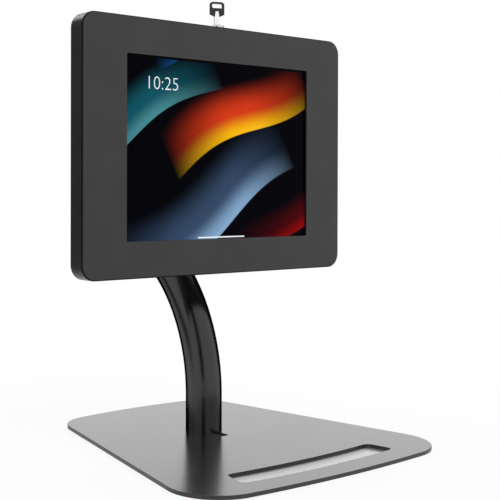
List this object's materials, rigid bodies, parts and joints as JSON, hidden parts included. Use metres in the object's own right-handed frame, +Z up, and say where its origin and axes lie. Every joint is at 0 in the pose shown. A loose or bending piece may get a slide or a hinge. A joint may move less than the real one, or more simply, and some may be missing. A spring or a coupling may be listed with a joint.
{
  "type": "tablet security kiosk stand",
  "caption": "Desk stand with a bent tube arm that carries a tablet in a tilting metal case, whose hinged front cover is held by a keyed cam lock.",
  "frame": {"origin": "on the desk, at the middle of the bottom of the whole stand's bounding box", "axes": "+X is the viewer's right, +Y points away from the viewer, +Z is up"},
  "size_m": [0.2978, 0.2968, 0.3975],
  "materials": {
    "base_paint": "gloss black powder coat",
    "arm_paint": "gloss black powder coat",
    "case_paint": "satin charcoal powder coat",
    "dark_steel": "black oxide",
    "bright_steel": "zinc plated",
    "lock_chrome": "polished",
    "key_steel": "nickel plated",
    "key_plastic": "moulded, slightly glossy",
    "foot_rubber": "matte",
    "case_rubber": "matte",
    "holder_plastic": "moulded",
    "tablet_shell": "bead blasted",
    "button_metal": "satin",
    "tablet_glass": "clear, polished",
    "screen": "lit panel, near black with soft coloured shapes",
    "battery_wrap": "wrapped cells",
    "circuit_board": "solder mask",
    "home_plastic": "gloss"
  },
  "bodies": {
    "stand": {"base_plate": "base_paint", "base_feet": "foot_rubber", "arm_tube": "arm_paint", "foot_plug": "bright_steel", "foot_screws": "bright_steel", "arm_head": "arm_paint", "tilt_bolt": "dark_steel", "tilt_nut": "dark_steel", "tilt_washers": "bright_steel"},
    "enclosure": {"tilt_bracket": "case_paint", "bracket_screws": "dark_steel", "weld_nuts": "bright_steel", "rear_tray": "case_paint", "cable_grommet": "case_rubber", "lock_catch": "case_paint", "catch_screw": "dark_steel", "hinge_leaf": "case_paint", "leaf_screws": "dark_steel", "hinge_pin": "bright_steel", "corner_brackets": "holder_plastic", "corner_screws": "dark_steel", "tablet_bumpers": "case_rubber", "tablet_body": "tablet_shell", "tablet_glass": "tablet_glass", "display_panel": "screen", "battery_cells": "battery_wrap", "logic_board": "circuit_board"},
    "cover": {"front_cover": "case_paint", "window_gasket": "case_rubber", "lock_barrel": "lock_chrome", "lock_nut": "bright_steel"},
    "lock": {"lock_plug": "bright_steel", "lock_cam": "bright_steel", "cam_screw": "bright_steel"},
    "key": {"key_blade": "key_steel", "key_bow": "key_plastic"},
    "power_button_body": {"power_button": "button_metal"},
    "volume_up_body": {"volume_up_button": "button_metal"},
    "volume_down_body": {"volume_down_button": "button_metal"},
    "home_button_body": {"home_button": "home_plastic"}
  },
  "joints": [
    {"name": "tilt", "type": "hinge", "parent": "stand", "child": "enclosure", "pos_m": [0, 0.05234, 0.26203], "axis": [-1, 0, 0], "range_deg": [-10, 45]},
    {"name": "cover_swing", "type": "hinge", "parent": "enclosure", "child": "cover", "pos_m": [0, 0.02434, 0.15158], "axis": [1, 0, 0], "range_deg": [0, 95]},
    {"name": "lock_turn", "type": "hinge", "parent": "cover", "child": "lock", "pos_m": [0, 0.01494, 0.37628], "axis": [0, 0, -1], "range_deg": [0, 90]},
    {"name": "key_pull", "type": "slide", "parent": "lock", "child": "key", "axis": [0, 0, 1], "range_m": [0, 0.02]},
    {"name": "power_press", "type": "slide", "parent": "enclosure", "child": "power_button_body", "axis": [1, 0, 0], "range_m": [0, 0.0003], "stiffness_N_per_m": 500},
    {"name": "volume_up_press", "type": "slide", "parent": "enclosure", "child": "volume_up_body", "axis": [0, 0, -1], "range_m": [0, 0.0003], "stiffness_N_per_m": 500},
    {"name": "volume_down_press", "type": "slide", "parent": "enclosure", "child": "volume_down_body", "axis": [0, 0, -1], "range_m": [0, 0.0003], "stiffness_N_per_m": 500},
    {"name": "home_press", "type": "slide", "parent": "enclosure", "child": "home_button_body", "axis": [0, 1, 0], "range_m": [0, 0.0003], "stiffness_N_per_m": 500}
  ]
}
